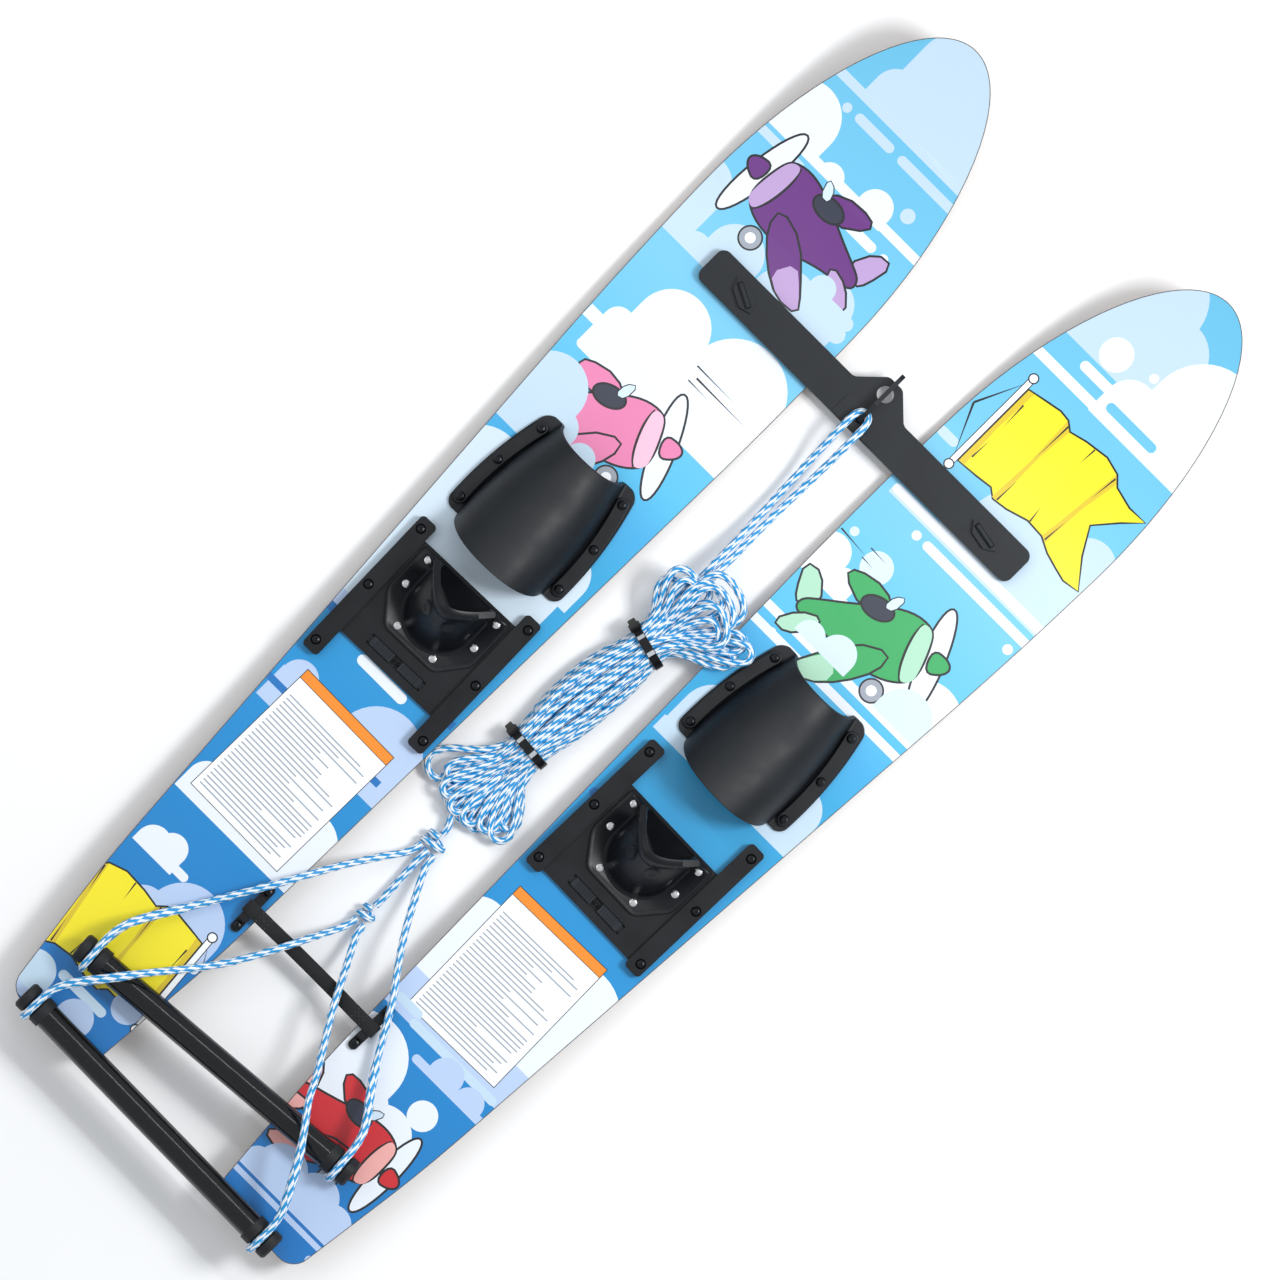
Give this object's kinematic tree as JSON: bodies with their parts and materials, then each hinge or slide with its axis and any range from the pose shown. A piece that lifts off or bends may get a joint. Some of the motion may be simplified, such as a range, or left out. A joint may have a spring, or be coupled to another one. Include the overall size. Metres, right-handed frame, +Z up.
{
  "type": "water ski pair",
  "caption": "Junior combo water skis joined at tip and tail, with toe arches, sliding heel cups, a tow bar, and a coiled braided rope with handles.",
  "frame": {"origin": "on the floor, below the middle of the pair's width and length", "axes": "+X to the right, +Y from the tails to the tips, +Z up"},
  "size_m": [0.4786, 1.1591, 0.0964],
  "materials": {
    "core": "laminated wood with a sealed base",
    "top_sheet": "printed glossy sheet",
    "fin": "moulded",
    "black_screw": "black button head",
    "rivet": "domed",
    "toe_rubber": "smooth matte sheet",
    "heel_rubber": "moulded",
    "binding_plastic": "fine grain",
    "latch_plastic": "ribbed",
    "spring_steel": "drawn wire",
    "knob_plastic": "moulded",
    "loop_plastic": "moulded",
    "handle_cap": "moulded",
    "handle_tube": "drawn tube",
    "handle_grip": "glossy sleeve",
    "insert_brass": "knurled",
    "bar_plastic": "satin moulded",
    "webbing": "woven webbing",
    "rope": "blue and white diamond braid",
    "tie_plastic": "strap"
  },
  "bodies": {
    "skis": {"binding_screws_left": "black_screw", "binding_screws_right": "black_screw", "fin_screws": "black_screw", "front_bridle_left": "rope", "front_bridle_right": "rope", "front_handle_cap_left": "handle_cap", "front_handle_cap_right": "handle_cap", "front_handle_grip": "handle_grip", "front_handle_tube": "handle_tube", "hank_tail": "rope", "hank_ties": "tie_plastic", "heel_rail_inner_left": "binding_plastic", "heel_rail_inner_right": "binding_plastic", "heel_rail_outer_left": "binding_plastic", "heel_rail_outer_right": "binding_plastic", "knob_inserts": "insert_brass", "rear_bridle_left": "rope", "rear_bridle_right": "rope", "rear_handle_cap_left": "handle_cap", "rear_handle_cap_right": "handle_cap", "rear_handle_grip": "handle_grip", "rear_handle_tube": "handle_tube", "rear_lead": "rope", "rope_hank": "rope", "rope_knot": "rope", "rope_splice": "rope", "ski_core_left": "core", "ski_core_right": "core", "tail_fin_left": "fin", "tail_fin_right": "fin", "tether_loop_left": "loop_plastic", "tether_loop_right": "loop_plastic", "tether_screws": "black_screw", "tether_strap": "webbing", "tip_bar": "bar_plastic", "toe_rubber_left": "toe_rubber", "toe_rubber_right": "toe_rubber", "toe_strip_inner_left": "binding_plastic", "toe_strip_inner_right": "binding_plastic", "toe_strip_outer_left": "binding_plastic", "toe_strip_outer_right": "binding_plastic", "top_sheet_left": "top_sheet", "top_sheet_right": "top_sheet", "tow_line": "rope", "tow_tongue": "bar_plastic"},
    "heel_left": {"heel_plate_left": "binding_plastic", "heel_cup_left": "heel_rubber", "heel_rivets_left": "rivet", "latch_spring_left": "spring_steel"},
    "latch_outer_left": {"latch_button_outer_left": "latch_plastic"},
    "latch_inner_left": {"latch_button_inner_left": "latch_plastic"},
    "knob_left": {"lock_knob_left": "knob_plastic"},
    "heel_right": {"heel_plate_right": "binding_plastic", "heel_cup_right": "heel_rubber", "heel_rivets_right": "rivet", "latch_spring_right": "spring_steel"},
    "latch_outer_right": {"latch_button_outer_right": "latch_plastic"},
    "latch_inner_right": {"latch_button_inner_right": "latch_plastic"},
    "knob_right": {"lock_knob_right": "knob_plastic"}
  },
  "joints": [
    {"name": "heel_slide_left", "type": "slide", "parent": "skis", "child": "heel_left", "axis": [-0.0262, 0.9992, -0.0286], "range_m": [-0.03, 0.01]},
    {"name": "latch_press_outer_left", "type": "slide", "parent": "heel_left", "child": "latch_outer_left", "axis": [0.9997, 0.0262, -0.0007], "range_m": [0, 0.0035], "stiffness_N_per_m": 300, "springref_m": -0.002, "deforming": ["latch_spring_left"]},
    {"name": "latch_press_inner_left", "type": "slide", "parent": "heel_left", "child": "latch_inner_left", "axis": [-0.9997, -0.0262, 0.0007], "range_m": [0, 0.0035], "stiffness_N_per_m": 300, "springref_m": -0.002},
    {"name": "knob_turn_left", "type": "hinge", "parent": "skis", "child": "knob_left", "pos_m": [-0.145, 0.29313, 0.02177], "axis": [0, 0.0286, 0.9996], "range_deg": [-63, 27]},
    {"name": "heel_slide_right", "type": "slide", "parent": "skis", "child": "heel_right", "axis": [0.0262, 0.9992, -0.0286], "range_m": [-0.005, 0.035]},
    {"name": "latch_press_outer_right", "type": "slide", "parent": "heel_right", "child": "latch_outer_right", "axis": [-0.9997, 0.0262, -0.0007], "range_m": [0, 0.0035], "stiffness_N_per_m": 300, "springref_m": -0.002, "deforming": ["latch_spring_right"]},
    {"name": "latch_press_inner_right", "type": "slide", "parent": "heel_right", "child": "latch_inner_right", "axis": [0.9997, -0.0262, 0.0007], "range_m": [0, 0.0035], "stiffness_N_per_m": 300, "springref_m": -0.002},
    {"name": "knob_turn_right", "type": "hinge", "parent": "skis", "child": "knob_right", "pos_m": [0.145, 0.29313, 0.02177], "axis": [0, 0.0286, 0.9996], "range_deg": [-79, 11]}
  ]
}
